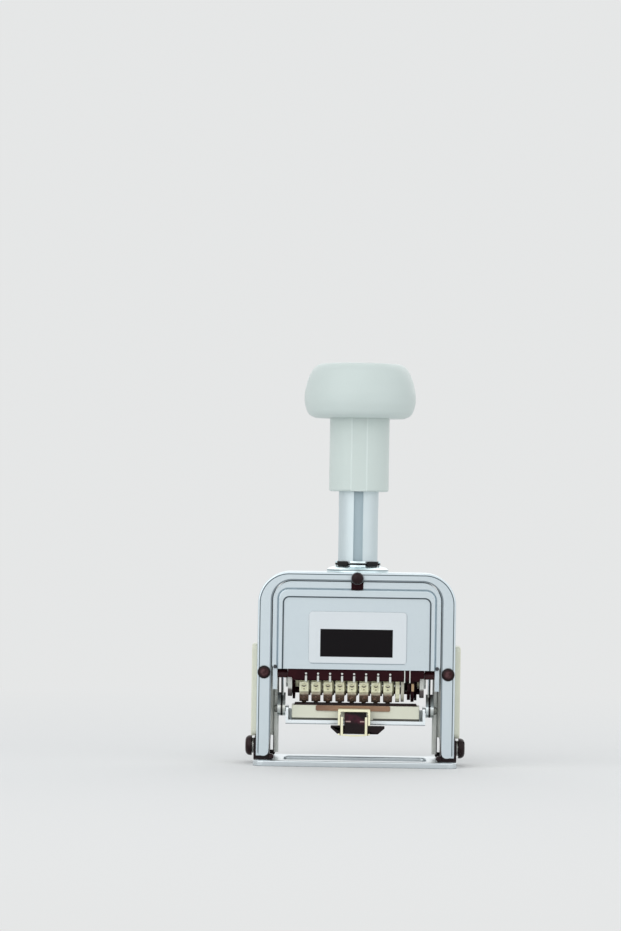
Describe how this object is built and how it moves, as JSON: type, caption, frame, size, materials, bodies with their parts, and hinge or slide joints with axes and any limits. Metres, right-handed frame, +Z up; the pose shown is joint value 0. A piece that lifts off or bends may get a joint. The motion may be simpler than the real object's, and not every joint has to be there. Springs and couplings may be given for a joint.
{
  "type": "numbering machine",
  "caption": "Hand-press automatic numbering machine: arched chrome frame, sprung plunger with number wheels, swing-out ink pad and lock button.",
  "frame": {"origin": "on the desk, under the middle of the base plate", "axes": "+Z up along the handle, -Y is the front with the label, +X to the right seen from the front"},
  "size_m": [0.0848, 0.0432, 0.155],
  "materials": {
    "chrome": "polished chrome plate",
    "dark_screw": "blackened, slightly brown",
    "black_plastic": "satin black",
    "white_plastic": "soft gloss white",
    "cream_plastic": "satin cream",
    "steel": "plain steel",
    "black_steel": "blackened steel",
    "brass": "pale cream brass",
    "brown_bush": "brown moulding",
    "rubber": "black rubber",
    "label": "white plate",
    "felt": "ink-soaked felt",
    "copper": "copper brown strip",
    "spring": "spring wire"
  },
  "bodies": {
    "frame": {"outer_frame": "chrome", "base_plate": "chrome", "left_foot_block": "black_plastic", "right_foot_block": "black_plastic", "foot_pins": "dark_screw", "base_screws": "steel", "left_side_plate": "cream_plastic", "right_side_plate": "cream_plastic", "side_screws": "dark_screw", "side_washers": "steel", "left_guide_rail": "steel", "right_guide_rail": "steel", "frame_screws": "dark_screw", "hub_collar": "chrome", "bumper_ring": "rubber", "spring_pin": "steel"},
    "plunger": {"knob": "white_plastic", "knob_sleeve": "white_plastic", "stem": "chrome", "stem_plug": "steel", "return_spring": "spring", "stem_nut": "steel", "housing_body": "chrome", "front_cover": "chrome", "rear_cover": "chrome", "cover_screws": "dark_screw", "label_plate": "label", "left_wheel_plate": "steel", "right_wheel_plate": "steel", "tie_rods": "steel", "wheel_shaft": "steel", "shaft_nuts": "steel", "detent_bar": "black_steel", "detent_fingers": "steel", "pivot_studs": "steel", "shaft_spacers": "brass"},
    "ink_swing": {"left_ink_arm": "chrome", "right_ink_arm": "chrome", "arm_bushes": "brown_bush", "arm_rivets": "dark_screw", "ink_carrier": "chrome"},
    "ink_cassette": {"ink_case": "cream_plastic", "ink_pad": "felt", "pull_tab": "black_plastic", "latch_bracket": "brass", "clip_strip": "copper"},
    "pawl_drive": {"pawl_yoke": "black_steel", "pawl_comb": "steel"},
    "drive_wheel": {"drive_ratchet": "brass"},
    "selector": {"repeat_selector": "black_steel"},
    "lock": {"lock_button": "dark_screw", "lock_spring": "spring"},
    "wheel_1": {"digit_wheel_1": "brass"},
    "wheel_2": {"digit_wheel_2": "brass"},
    "wheel_3": {"digit_wheel_3": "brass"},
    "wheel_4": {"digit_wheel_4": "brass"},
    "wheel_5": {"digit_wheel_5": "brass"},
    "wheel_6": {"digit_wheel_6": "brass"},
    "wheel_7": {"digit_wheel_7": "brass"},
    "wheel_8": {"digit_wheel_8": "brass"}
  },
  "joints": [
    {"name": "handle_press", "type": "slide", "parent": "frame", "child": "plunger", "axis": [0, 0, -1], "range_m": [0, 0.0235], "stiffness_N_per_m": 400, "springref_m": -0.025, "deforming": ["return_spring"]},
    {"name": "lock_push", "type": "slide", "parent": "frame", "child": "lock", "axis": [0, 1, 0], "range_m": [0, 0.0022], "stiffness_N_per_m": 150, "springref_m": -0.001, "deforming": ["lock_spring"]},
    {"name": "ink_swing_out", "type": "hinge", "parent": "plunger", "child": "ink_swing", "pos_m": [0, -0.006, 0.035], "axis": [-1, 0, 0], "range_deg": [0, 109.05]},
    {"name": "pawl_stroke", "type": "hinge", "parent": "plunger", "child": "pawl_drive", "pos_m": [0, 0, 0.0326], "axis": [1, 0, 0], "range_deg": [0, 36.05]},
    {"name": "drive_turn", "type": "hinge", "parent": "plunger", "child": "drive_wheel", "pos_m": [0, 0, 0.0326], "axis": [1, 0, 0], "continuous": true},
    {"name": "selector_turn", "type": "hinge", "parent": "plunger", "child": "selector", "pos_m": [0, 0, 0.0326], "axis": [1, 0, 0], "continuous": true},
    {"name": "cassette_slide", "type": "slide", "parent": "ink_swing", "child": "ink_cassette", "axis": [0, 1, 0], "range_m": [-0.016, 0]},
    {"name": "wheel_1_turn", "type": "hinge", "parent": "plunger", "child": "wheel_1", "pos_m": [0, 0, 0.0326], "axis": [1, 0, 0], "continuous": true},
    {"name": "wheel_2_turn", "type": "hinge", "parent": "plunger", "child": "wheel_2", "pos_m": [0, 0, 0.0326], "axis": [1, 0, 0], "continuous": true},
    {"name": "wheel_3_turn", "type": "hinge", "parent": "plunger", "child": "wheel_3", "pos_m": [0, 0, 0.0326], "axis": [1, 0, 0], "continuous": true},
    {"name": "wheel_4_turn", "type": "hinge", "parent": "plunger", "child": "wheel_4", "pos_m": [0, 0, 0.0326], "axis": [1, 0, 0], "continuous": true},
    {"name": "wheel_5_turn", "type": "hinge", "parent": "plunger", "child": "wheel_5", "pos_m": [0, 0, 0.0326], "axis": [1, 0, 0], "continuous": true},
    {"name": "wheel_6_turn", "type": "hinge", "parent": "plunger", "child": "wheel_6", "pos_m": [0, 0, 0.0326], "axis": [1, 0, 0], "continuous": true},
    {"name": "wheel_7_turn", "type": "hinge", "parent": "plunger", "child": "wheel_7", "pos_m": [0, 0, 0.0326], "axis": [1, 0, 0], "continuous": true},
    {"name": "wheel_8_turn", "type": "hinge", "parent": "plunger", "child": "wheel_8", "pos_m": [0, 0, 0.0326], "axis": [1, 0, 0], "continuous": true}
  ],
  "couplings": [
    {"joint": "ink_swing_out", "follows": "handle_press", "rad_per_m": 80.954},
    {"joint": "pawl_stroke", "follows": "handle_press", "rad_per_m": 26.737}
  ]
}
